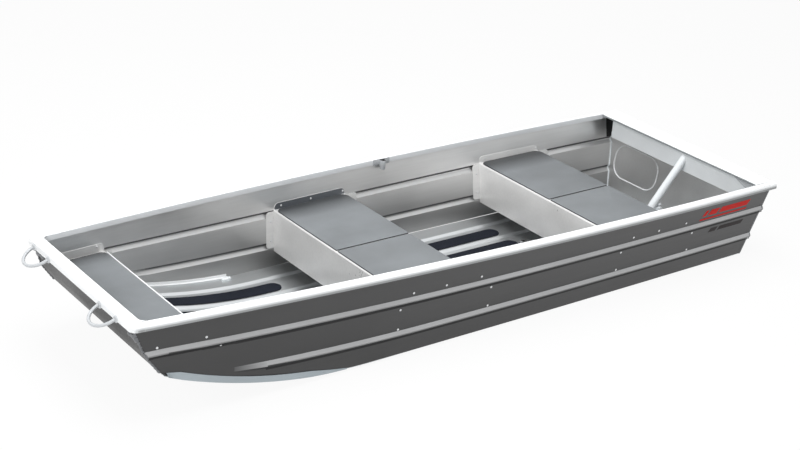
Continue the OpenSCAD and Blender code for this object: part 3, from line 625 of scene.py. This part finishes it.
class PUNT_OT_hull(Operator):
    """Bottom, sides and end plates: mill finish inside, painted reflection darkening the outside, painted
    highlights and painted shade on the strakes
    """

    bl_idname = "punt.hull"
    bl_label = "Hull sheets"

    # How far outer faces turn: the bottom's down, the end plates' ahead or astern
    bottom_turn = 0.5
    end_turn = 0.3
    # How far a strake's slopes face up or down
    slope = 0.3
    # Where the lower strake runs out: along the hull, and the heights of its upper half
    tip_run = (1.11, 1.27)
    tip_heights = (0.141, 0.17)
    # Painted shadow line under a strake
    line_width = 0.007
    line_rise = 0.0003
    # How far behind the transom cap's front the painted shade on the starboard side ends, and how far below
    # the cap
    shade_setback = 0.037
    shade_drop = 0.006

    def at_tip(self, place):
        along, heights = self.tip_run, self.tip_heights
        return along[0] < place.x < along[1] and heights[0] < place.z < heights[1]

    def strakes(self, sheet, sign):
        """Outer faces of a side's strakes by their finish: painted highlights on the upper slopes, the tip
        and the crests, painted shade on the undersides.
        """
        outer = [face for face in sheet.data.polygons if face.normal.y * sign > 0]
        tip = {face.index for face in outer if face.normal.z > -self.slope and self.at_tip(face.center)}
        upper = {face.index for face in outer if face.normal.z > self.slope} - tip
        lower = {face.index for face in outer if face.normal.z < -self.slope}
        slope_heights = {}
        for face in outer:
            if face.index in upper:
                for edge in face.edge_keys:
                    slope_heights.setdefault(edge, face.center.z)
        crests = set()
        for face in outer:
            above = [slope_heights[edge] for edge in face.edge_keys if edge in slope_heights]
            if abs(face.normal.z) <= self.slope and above and min(above) > face.center.z:
                crests.add(face.index)
        return {"strake_crown": upper, "strake_tip": tip, "strake_crest": crests, "strake_groove": lower}

    def dirt_line(self, sheet, side, undersides, finish):
        """Painted shadow under the strakes: a dark line from the undersides' lower edges, drawn down and
        pressed on.
        """
        lowest = set()
        for index in undersides:
            face = sheet.data.polygons[index]
            for edge in face.edge_keys:
                start, end = (sheet.data.vertices[corner].co for corner in edge)
                if max(start.z, end.z) < face.center.z and abs(start.x - end.x) > self.line_width:
                    lowest.add(edge)
        line = added("dirt_line", sheet.data.copy())
        choosing(line, "EDGE")
        for edge in line.data.edges:
            edge.select = edge.key not in lowest
        down = {"value": (0, 0, -self.line_width)}
        in_edit_mode(
            lambda: bpy.ops.mesh.delete(type="EDGE_FACE"),
            select_everything,
            lambda: bpy.ops.mesh.delete_loose(use_verts=True, use_edges=False, use_faces=False),
            select_everything,
            lambda: bpy.ops.mesh.extrude_edges_move(TRANSFORM_OT_translate=down),
        )
        pressed_on(line, side, self.line_rise)
        settled(line, "dirt_line_" + side, finish)

    def execute(self, context):
        made = finishes()
        cap_low, cap_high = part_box("transom_cap")
        cut = cap_high.x - self.shade_setback
        bottom = skin_of("hull_bottom", made["bottom_sheet"], crease=25)
        # Painted reflection: the bottom's underside is darkened
        paint_faces(bottom, made["outer_skin"], lambda face: face.normal.z < -self.bottom_turn)
        for side, sign in SIDES.items():
            sheet = skin_of("side_" + side, made["mill_sheet"], crease=25)
            # The cut marks where the painted shade behind the cap ends
            editing(sheet, lambda: bpy.ops.mesh.bisect(plane_co=(cut, 0, 0), plane_no=AHEAD))
            strakes = self.strakes(sheet, sign)
            # Painted reflection: the sides' outer faces are darkened
            paint_faces(sheet, made["outer_skin"], lambda face: face.normal.y * sign > 0)
            for finish, faces in strakes.items():
                paint_faces(sheet, made[finish], lambda face: face.index in faces)
            # Painted shade on the strakes' slopes inside: dark on the upper slopes that face down, dimmed on
            # the lower ones that face up
            for finish, turn in (("inner_ledge", 1), ("inner_groove", -1)):
                paint_faces(
                    sheet,
                    made[finish],
                    lambda face: face.normal.y * sign < 0 and face.normal.z * turn > self.slope,
                )
            # Painted shadow: a dark line pressed on under the strakes
            self.dirt_line(sheet, side, strakes["strake_groove"], made["strake_groove"])
        # Painted shade: the starboard side's inner faces behind the cap go near black
        behind_cap = cap_low.z - self.shade_drop
        paint_faces(
            bpy.data.objects["side_starboard_skin"],
            made["strake_groove"],
            lambda face: face.normal.y > 0 and face.center.x < cut and face.center.z > behind_cap,
        )
        bow = skin_of("bow_plate", made["mill_sheet"], crease=32)
        # Painted reflection: the bow plate's outer face is darkened
        paint_faces(bow, made["bow_skin"], lambda face: face.normal.x > self.end_turn)
        transom = skin_of("transom_plate", made["transom_sheet"], crease=32)
        # Painted reflection: the transom's outer face is darkened
        paint_faces(transom, made["outer_skin"], lambda face: face.normal.x < -self.end_turn)
        skin_of("transom_oval", made["pressed_bead"], crease=60)
        for side in SIDES:
            skin_of("chine_strap_" + side, made["strap_alloy"], crease=40)
            skin_of("chine_angle_" + side, made["rim_coat"], crease=40)
        return {"FINISHED"}


class PUNT_OT_rims(Operator):
    """Rim extrusions along the sides, the bow and the transom"""

    bl_idname = "punt.rims"
    bl_label = "Rims"

    lip_height = 0.012
    cap_middle = sum(corner.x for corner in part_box("transom_cap")) / 2
    # How far a face of the cap turns ahead, astern or down to get a finish of its own: the pale face ahead,
    # painted shade on the lip, the underside and the rear faces
    turned = 0.5
    # Corners of the gusset at the cap's port end: across the hull, and down from the cap's top
    gusset_corners = ((0.385, 0.0035), (0.551, 0.006), (0.547, 0.067))
    gusset_setback = 0.0065
    gusset_sheet = 0.0015

    def gusset(self, finish):
        """Triangular sheet under the cap's lip, from the cap's inner face to the port rim."""
        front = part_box("transom_cap")[1]
        sheet = begun(bpy.ops.mesh.primitive_circle_add, vertices=3, fill_type="NGON")
        starts = [vertex.co.copy() for vertex in sheet.data.vertices]
        for corner, (start, (across, drop)) in enumerate(zip(starts, self.gusset_corners)):
            place = Vector((front.x - self.gusset_setback, across, front.z - drop))
            move_corners(sheet, place - start, lambda vertex: vertex.index == corner)
        thickened(sheet, self.gusset_sheet)
        settled(sheet, "cap_gusset", finish)

    def execute(self, context):
        made = finishes()
        easing = context.scene.punt_sizes.rim_easing
        for side in SIDES:
            skin_of("gunwale_" + side, made["rim_roll"])
        skin_of("bow_rim", made["rim_roll"], easing)
        cap = skin_of("transom_cap", made["rim_roll"], easing)
        lip_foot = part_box("transom_cap")[1].z - self.lip_height
        turned = self.turned
        paint_faces(cap, made["cap_face"], lambda face: face.normal.x > turned and face.center.z < lip_foot)
        # Painted shade on the cap's lip, its underside and its rear faces
        paint_faces(
            cap,
            made["cap_lip"],
            lambda face: face.normal.z < -turned
            or (face.normal.x > turned and face.center.z > lip_foot)
            or (face.normal.x < -turned and face.center.x > self.cap_middle),
        )
        # The gusset takes the darker loop alloy as painted shade under the cap
        self.gusset(made["loop_alloy"])
        return {"FINISHED"}


class PUNT_OT_seats(Operator):
    """Folded seats and bow deck"""

    bl_idname = "punt.seats"
    bl_label = "Seats and deck"

    # Painted highlight: a white rolled edge along the deck's rear fold
    edge_width = 0.007
    edge_rise = 0.0015
    edge_inset = 0.012

    def execute(self, context):
        made = finishes()
        for node in ("bow_deck", "mid_seat", "rear_seat"):
            skin_of(node, made["seat_sheet"], crease=40)
        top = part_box("mid_seat_pad_port")[1].z
        # Painted shade on the middle seat's flanges above the pads
        paint_faces(
            bpy.data.objects["mid_seat_skin"],
            made["seat_flange"],
            lambda face: face.center.z > top and face.normal.y * face.center.y < 0,
        )
        low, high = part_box("bow_deck_pad")
        run = high.y - low.y - 2 * self.edge_inset
        place = Vector((low.x - self.edge_width / 2, -run / 2, high.z - self.edge_width / 2 + self.edge_rise))
        edge = rolled_edge(self.edge_width, run)
        # Painted highlight on the deck's rear fold
        repeated(edge, [standing(place, ACROSS)], "deck_edge", made["rim_coat"])
        return {"FINISHED"}


class PUNT_OT_pads(Operator):
    """Foam pads with rounded upper edges on the seats and the deck"""

    bl_idname = "punt.pads"
    bl_label = "Pads"

    # How far up or down a pad's top and underside face
    turned = 0.9

    def execute(self, context):
        made = finishes()
        easing = context.scene.punt_sizes.pad_easing
        nodes = [f"{seat}_seat_pad_{side}" for seat in ("mid", "rear") for side in SIDES]
        for node in nodes + ["bow_deck_pad"]:
            pad = skin_of(node, made["seat_foam"], easing)
            # Painted shade: the pads' sides go near black
            paint_faces(pad, made["foam_side"], lambda face: abs(face.normal.z) < self.turned)
        return {"FINISHED"}


class PUNT_OT_strips(Operator):
    """Black grip strips on the floor"""

    bl_idname = "punt.strips"
    bl_label = "Grip strips"

    def execute(self, context):
        made = finishes()
        for place in ("front", "mid"):
            skin_of("floor_strips_" + place, made["grip_grit"], crease=40)
        return {"FINISHED"}


class PUNT_OT_fittings(Operator):
    """Bow loops, rowlock sockets, transom brace and stool, motor plate and drain"""

    bl_idname = "punt.fittings"
    bl_label = "Fittings"

    # How far from a rowlock's axis the faces of its bore lie, at most: these get painted shade
    bore_reach = 0.0078

    def execute(self, context):
        made = finishes()
        easing = context.scene.punt_sizes.fitting_easing
        for side in SIDES:
            skin_of("bow_loop_" + side, made["loop_alloy"], crease=60)
            socket = skin_of("rowlock_" + side, made["loop_alloy"], easing)
            axis = MOUNTS["rowlock_" + side].xy
            # Painted shade: the faces of the bore go near black
            paint_faces(
                socket, made["strake_groove"], lambda face: (face.center.xy - axis).length < self.bore_reach
            )
        skin_of("transom_brace", made["brace_coat"])
        skin_of("brace_stool", made["brace_coat"], easing)
        # The motor plate reuses the light alloy of the strakes' painted highlights
        skin_of("motor_pad", made["strake_crown"], easing)
        skin_of("drain_bung", made["plug_plastic"], easing)
        return {"FINISHED"}


class PUNT_OT_rivets(Operator):
    """Rivets through the sides into the flanges and tabs of the seats and the deck"""

    bl_idname = "punt.rivets"
    bl_label = "Rivets"

    # Along a flange, as shares of the seat's or deck's length
    seat_shares = (0.035, 0.487, 0.895)
    deck_shares = (0.128, 0.875)
    # From the carried pad's edges, and from the floor
    pad_margin = 0.007
    seat_rise = 0.015
    deck_rise = 0.031
    front_reach = 0.016
    back_reach = 0.052
    tab_heights = (0.142, 0.239)
    deck_tab_reach = 0.025
    deck_tab_drop = 0.018

    def seat_places(self, seat):
        """Places of a seat's rivets, as [x, z]."""
        low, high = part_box(seat + "_pad_port")
        back = low.x - self.pad_margin
        front = high.x + self.pad_margin
        places = [(back + (front - back) * share, low.z + self.seat_rise) for share in self.seat_shares]
        for x in (front + self.front_reach, back - self.back_reach):
            places += [(x, height) for height in self.tab_heights]
        return places

    def deck_places(self):
        """Places of the deck's rivets, as [x, z]."""
        low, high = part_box("bow_deck_pad")
        places = [(low.x + (high.x - low.x) * share, low.z + self.deck_rise) for share in self.deck_shares]
        return places + [(low.x - self.deck_tab_reach, low.z - self.deck_tab_drop)]

    def execute(self, context):
        made = finishes()
        sizes = context.scene.punt_sizes
        carried = {seat: self.seat_places(seat) for seat in ("mid_seat", "rear_seat")}
        carried["bow_deck"] = self.deck_places()
        for side, sign in SIDES.items():
            outer = []
            inner = []
            for node, places in carried.items():
                for x, z in places:
                    outer.append(standing(*meet("side_" + side, (x, sign, z), (0, -sign, 0))))
                    inner.append(standing(*meet(node, (x, 0, z), (0, sign, 0))))
            for name, placings in (("outer", outer), ("inner", inner)):
                head = domed_head(sizes.rivet_width, sizes.rivet_rise)
                repeated(head, placings, f"rivets_{name}_{side}", made["rivet_alloy"])
        return {"FINISHED"}


class PUNT_OT_bolts(Operator):
    """Domed bolts through the motor plate"""

    bl_idname = "punt.bolts"
    bl_label = "Motor plate bolts"

    margin = 0.03

    def execute(self, context):
        made = finishes()
        sizes = context.scene.punt_sizes
        low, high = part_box("motor_pad")
        placings = []
        for y in (low.y + self.margin, high.y - self.margin):
            for z in (low.z + self.margin, high.z - self.margin):
                placings.append(standing(*meet("motor_pad", (low.x - 1, y, z), AHEAD), along=UP))
        head = domed_head(sizes.bolt_width, sizes.bolt_rise)
        repeated(head, placings, "motor_plate_bolts", made["rivet_alloy"])
        return {"FINISHED"}


class PUNT_OT_welds(Operator):
    """Weld beads in the transom's corners, on the hull's outer edges, the cap, the chine and the fittings"""

    bl_idname = "punt.welds"
    bl_label = "Welds"

    # Height from one point of a line to the next, and how far a bead lies inside its edge
    step = 0.006
    inset = 0.002
    # How much the ripples of neat and rough beads vary in size, and the turns of the two waves in that
    swell = 0.16
    rough_swell = 0.4
    swell_turns = (2.4, 0.7)
    # Size of the ripples against a plain bead's
    bow_scale = 1.15
    loop_scale = 1.5
    blob_scale = 2.6
    # How far beads face ahead in the transom's corners, and down along the bow's rim and the cap
    corner_lean = 0.6
    rim_lean = 0.3
    cap_lean = 0.4
    # Ripples round a loop's foot, and the loop's width in radii of its rod
    loop_ripples = 16
    loop_radii = 16
    # How far below the bow's rim and the cap's top the beads end
    rim_gap = 0.006
    cap_gap = 0.03
    # Where plates are looked for: from far outside the hull, this far off its middle
    far = 9
    off_middle = 0.4
    # Steps from there to the corner, along the bow's rim
    cross_steps = 8
    # Blobs at the rim's corner, as distances in from the corner and down from the rim
    blob_insets = (0.01, 0.02, 0.032, 0.044, 0.056, 0.006)
    blob_drops = (0.028, 0.033, 0.032, 0.038, 0.036, 0.042)
    # Blobs heaped behind the brace's foot, from the stool's rear upper edge
    heap = (
        (0.024, 0.01, 0.003),
        (0.014, 0.018, 0.005),
        (0.006, 0.008, 0.01),
        (0.018, 0.002, 0.016),
        (0.01, 0.012, 0.022),
    )
    # Knob at a chine angle's rear end: in from the angle's edge, up from its foot, and its ripples
    knob_inset = 0.012
    knob_rise = 0.004
    knob_pitch = 0.011
    knob_ripples = 4
    # Tacks across the cap's inner face, below its top
    tack_places = (-0.44, -0.36, -0.2, -0.02, 0.16, 0.33)
    tack_length = 0.022
    tack_drop = 0.011

    def bead(self, name, spots, finish="weld_metal", scale=1.0, swell=swell):
        """A bead of overlapping ripples. A spot is a place, where it faces and where it runs."""
        sizes = bpy.context.scene.punt_sizes
        fast, slow = self.swell_turns
        placings = []
        for count, (place, outward, heading) in enumerate(spots):
            grown = scale * (1 + swell * math.sin(count * fast) * math.cos(count * slow))
            placings.append(standing(place, outward, heading) @ Matrix.Scale(grown, 4))
        ripple = weld_ripple(sizes.weld_width, sizes.weld_pitch)
        repeated(ripple, placings, name, finishes()[finish])

    def run(self, points, outward):
        """Spots along a line of points that all face one way."""
        pitch = bpy.context.scene.punt_sizes.weld_pitch
        return [(place, outward, heading) for place, heading in along_line(points, pitch)]

    def heights(self, low, high):
        """Even heights from low to high, a step apart."""
        count = max(1, round((high - low) / self.step))
        return [low + (high - low) * number / count for number in range(count + 1)]

    def inner_corner(self, side, sign):
        """Line up the corner between the transom and a side, inside."""
        points = []
        for z in self.heights(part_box("floor_strips_mid")[1].z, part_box("transom_cap")[0].z):
            back, _ = meet("transom_plate", (0, sign * self.off_middle, z), -AHEAD)
            wall, _ = meet("side_" + side, (back.x + 2 * self.inset, 0, z), (0, sign, 0))
            points.append(Vector((back.x + self.inset, wall.y - sign * self.inset, z)))
        return points

    def outer_edge(self, plate, side, sign, heading, low, high):
        """Line up the outer edge between an end plate and a side. The plate is met along heading."""
        points = []
        for z in self.heights(low, high):
            end, _ = meet(plate, Vector((0, sign * self.off_middle, z)) - heading * self.far, heading)
            wall, _ = meet("side_" + side, (end.x + heading.x * self.step, sign, z), (0, -sign, 0))
            points.append(Vector((end.x, wall.y - sign * self.inset, z)))
        return points

    def bow(self, side, sign):
        """Rough beads up the bow's edge and along its rim, and blobs in the corner between them."""
        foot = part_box("bow_plate")[0].z + 2 * self.step
        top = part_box("bow_rim")[0].z - self.rim_gap
        edge = self.outer_edge("bow_plate", side, sign, -AHEAD, foot, top)
        corner = abs(edge[-1].y)
        across = []
        for number in range(self.cross_steps + 1):
            y = sign * (self.off_middle + (corner - self.off_middle) * number / self.cross_steps)
            across.append(meet("bow_plate", (self.far, y, top), -AHEAD)[0])
        spots = self.run(edge, Vector((1, sign, 0))) + self.run(across, Vector((1, 0, -self.rim_lean)))
        self.bead("bow_weld_" + side, spots, "burnt_weld", self.bow_scale, self.rough_swell)
        blobs = []
        for inset, drop in zip(self.blob_insets, self.blob_drops):
            front = meet("bow_plate", (self.far, sign * (corner - inset), top - drop), -AHEAD)
            blobs.append((*front, ACROSS))
        self.bead("corner_weld_" + side, blobs, "burnt_weld", self.blob_scale, self.rough_swell)

    def loop_feet(self, side):
        """Spots round both feet of a bow loop."""
        low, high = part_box("bow_loop_" + side)
        radius = (high.y - low.y) / self.loop_radii
        spots = []
        for y in (low.y + radius, high.y - radius):
            for number in range(self.loop_ripples):
                turn = 2 * math.pi * number / self.loop_ripples
                spoke = Vector((0, math.cos(turn), math.sin(turn)))
                foot = Vector((low.x, y, MOUNTS["bow_loop_" + side].z)) + spoke * radius
                spots.append((foot, spoke + AHEAD, AHEAD.cross(spoke)))
        return spots

    def knob(self, side, sign):
        """Spots of the knob at the rear end of a chine angle."""
        low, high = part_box("chine_angle_" + side)
        y = sign * (min(abs(low.y), abs(high.y)) + self.knob_inset)
        start = Vector((low.x, y, low.z + self.knob_rise))
        places = [start + AHEAD * self.knob_pitch * number for number in range(self.knob_ripples)]
        return [(place, Vector((0, -sign, 1)), AHEAD) for place in places]

    def execute(self, context):
        cap_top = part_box("transom_cap")[1].z
        for side, sign in SIDES.items():
            corner = self.run(self.inner_corner(side, sign), Vector((self.corner_lean, -sign, 0)))
            self.bead("transom_weld_" + side, corner)
            self.bow(side, sign)
            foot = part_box("transom_plate")[0].z
            stern = self.outer_edge("transom_plate", side, sign, AHEAD, foot, cap_top - self.cap_gap)
            self.bead("stern_weld_" + side, self.run(stern, Vector((-1, sign, 0))), "burnt_weld")
            self.bead("loop_weld_" + side, self.loop_feet(side), "loop_alloy", self.loop_scale)
            knob = self.knob(side, sign)
            self.bead("chine_weld_" + side, knob, "weld_metal", self.blob_scale, self.rough_swell)
        tacks = []
        for y in self.tack_places:
            face, _ = meet("transom_cap", (0, y, cap_top - self.tack_drop), -AHEAD)
            ends = (face, face + ACROSS * self.tack_length)
            tacks += self.run(ends, Vector((1, 0, -self.cap_lean)))
        self.bead("cap_tacks", tacks)
        low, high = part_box("transom_brace")
        foot = Vector((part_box("brace_stool")[0].x, (low.y + high.y) / 2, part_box("brace_stool")[1].z))
        heap = [(foot + Vector(place), UP, AHEAD) for place in self.heap]
        self.bead("foot_weld", heap, "brace_coat", self.blob_scale, self.rough_swell)
        return {"FINISHED"}


class PUNT_OT_stripes(Operator):
    """Plain slanted stripes of thin film on both sides, near the stern"""

    bl_idname = "punt.stripes"
    bl_label = "Side stripes"

    # Each stripe as its finish, its rear end, its length, its lower edge and its height
    stripes = (
        ("red_film", -1.632, 0.205, 0.322, 0.030),
        ("red_film", -1.412, 0.060, 0.322, 0.030),
        ("red_film", -1.337, 0.022, 0.322, 0.030),
        ("red_film", -1.632, 0.330, 0.300, 0.009),
        ("dark_film", -1.632, 0.170, 0.213, 0.022),
        ("dark_film", -1.446, 0.048, 0.213, 0.022),
    )
    slant = 0.6
    cuts = 9

    def stripe(self, side, sign, number, finish, rear, run, foot, height):
        """A slanted strip that is cut into small squares, pressed on the side and given its thickness."""
        middle = foot + height / 2
        piece = begun(
            bpy.ops.mesh.primitive_plane_add,
            size=1,
            location=(rear + run / 2, sign, middle),
            rotation=(math.pi / 2 * sign, 0, 0),
        )
        editing(piece, lambda: bpy.ops.transform.resize(value=(run, 1, height)))
        bpy.ops.object.transform_apply(location=True, rotation=True, scale=True)
        move_corners(piece, (-height * self.slant, 0, 0), lambda vertex: vertex.co.z > middle)
        editing(piece, lambda: bpy.ops.mesh.subdivide(number_cuts=self.cuts))
        pressed_on(piece, side, bpy.context.scene.punt_sizes.stripe_rise)
        settled(piece, f"stripe_{number}_{side}", finishes()[finish])

    def execute(self, context):
        for side, sign in SIDES.items():
            for number, values in enumerate(self.stripes):
                self.stripe(side, sign, number, *values)
        return {"FINISHED"}


def seen_plainly(tree):
    """1 where the camera, a reflection or glass looks at a surface, else 0."""
    path = tree.nodes.new("ShaderNodeLightPath")
    seen = path.outputs["Is Camera Ray"]
    for ray in ("Is Glossy Ray", "Is Transmission Ray"):
        either = tree.nodes.new("ShaderNodeMath")
        either.operation = "MAXIMUM"
        tree.links.new(seen, either.inputs[0])
        tree.links.new(path.outputs[ray], either.inputs[1])
        seen = either.outputs["Value"]
    return seen


class PUNT_OT_stage(Operator):
    """Pale floor, soft lamps and the camera"""

    bl_idname = "punt.stage"
    bl_label = "Studio"

    eye = (4.23296, 5.3845, 3.3466)
    gaze = (-0.55784, -0.72529, -0.40345)
    roll = 0.0685
    lens = 72.59
    sensor = 36.0
    floor_size = 80
    floor_glow = 0.93
    sky_light = 0.42
    # Each lamp as its name, its place, its size and its power
    lamps = (
        ("overhead", (0.3, 0.0, 4.6), (5.0, 3.2), 260),
        ("bow_key", (5.5, 1.2, 3.4), (2.6, 2.0), 130),
    )
    lamp_target = (0, 0, 0.3)

    def camera(self, scene):
        gaze = Vector(self.gaze).normalized()
        right = gaze.cross(UP).normalized()
        up = right.cross(gaze)
        across = right * math.cos(self.roll) + up * math.sin(self.roll)
        upward = up * math.cos(self.roll) - right * math.sin(self.roll)
        data = bpy.data.cameras.new("camera")
        data.lens = self.lens
        data.sensor_width = self.sensor
        data.sensor_fit = "HORIZONTAL"
        camera = added("camera", data)
        turn = Matrix((across, upward, -gaze)).transposed().to_4x4()
        camera.matrix_world = Matrix.Translation(self.eye) @ turn
        scene.camera = camera

    def lamp(self, name, place, size, power):
        data = bpy.data.lights.new(name, "AREA")
        data.shape = "RECTANGLE"
        data.size, data.size_y = size
        data.energy = power
        lamp = added(name, data)
        heading = Vector(self.lamp_target) - Vector(place)
        lamp.matrix_world = Matrix.Translation(place) @ heading.to_track_quat("-Z", "Y").to_matrix().to_4x4()
        lamp.visible_glossy = False

    def floor(self, colours):
        plane = begun(bpy.ops.mesh.primitive_plane_add, size=self.floor_size)
        plane.name = "studio_floor"
        finish = Finish("studio_floor")
        glow = finish.node("ShaderNodeEmission", Strength=1.0)
        share = finish.ranged(seen_plainly(finish.tree), 0.0, self.floor_glow, 0.0, 1.0)
        mix = finish.node("ShaderNodeMixShader", Fac=share)
        finish.surface(Base_Color=(*colours.floor, 1.0), Roughness=0.9, Specular_IOR_Level=0.1)
        finish.link(finish.shader.outputs["BSDF"], mix.inputs[1])
        finish.link(glow.outputs["Emission"], mix.inputs[2])
        finish.link(mix.outputs["Shader"], finish.tree.nodes["Material Output"].inputs["Surface"])
        plane.data.materials.append(finish.material)

    def world(self, scene):
        world = bpy.data.worlds.new("studio")
        world.use_nodes = True
        tree = world.node_tree
        background = tree.nodes["Background"]
        background.inputs["Color"].default_value = (1, 1, 1, 1)
        strength = tree.nodes.new("ShaderNodeMapRange")
        strength.inputs["To Min"].default_value = self.sky_light
        strength.inputs["To Max"].default_value = 1.0
        tree.links.new(seen_plainly(tree), strength.inputs["Value"])
        tree.links.new(strength.outputs["Result"], background.inputs["Strength"])
        scene.world = world

    def execute(self, context):
        scene = context.scene
        scene.view_settings.view_transform = "Standard"
        self.camera(scene)
        self.floor(scene.punt_colours)
        self.world(scene)
        for values in self.lamps:
            self.lamp(*values)
        return {"FINISHED"}


class PUNT_PT_sidebar(Panel):
    """Lists the steps that dress the punt"""

    bl_idname = "PUNT_PT_sidebar"
    bl_label = "Punt"
    bl_space_type = "VIEW_3D"
    bl_region_type = "UI"
    bl_category = "Punt"

    def draw(self, context):
        for step in STEPS:
            self.layout.operator(step.bl_idname)
        for group in (context.scene.punt_sizes, context.scene.punt_colours):
            box = self.layout.box()
            for key in group.__annotations__:
                box.prop(group, key)


STEPS = (
    PUNT_OT_stage,
    PUNT_OT_hull,
    PUNT_OT_rims,
    PUNT_OT_seats,
    PUNT_OT_pads,
    PUNT_OT_strips,
    PUNT_OT_fittings,
    PUNT_OT_rivets,
    PUNT_OT_bolts,
    PUNT_OT_welds,
    PUNT_OT_stripes,
)
CLASSES = (PuntSizes, PuntColours, *STEPS, PUNT_PT_sidebar)


def register():
    for item in CLASSES:
        bpy.utils.register_class(item)
    bpy.types.Scene.punt_sizes = PointerProperty(type=PuntSizes)
    bpy.types.Scene.punt_colours = PointerProperty(type=PuntColours)


def unregister():
    del bpy.types.Scene.punt_colours
    del bpy.types.Scene.punt_sizes
    for item in reversed(CLASSES):
        bpy.utils.unregister_class(item)


def main():
    register()
    bpy.ops.punt.stage()
    bpy.ops.punt.hull()
    bpy.ops.punt.rims()
    bpy.ops.punt.seats()
    bpy.ops.punt.pads()
    bpy.ops.punt.strips()
    bpy.ops.punt.fittings()
    bpy.ops.punt.rivets()
    bpy.ops.punt.bolts()
    bpy.ops.punt.welds()
    bpy.ops.punt.stripes()


if __name__ == "__main__":
    main()
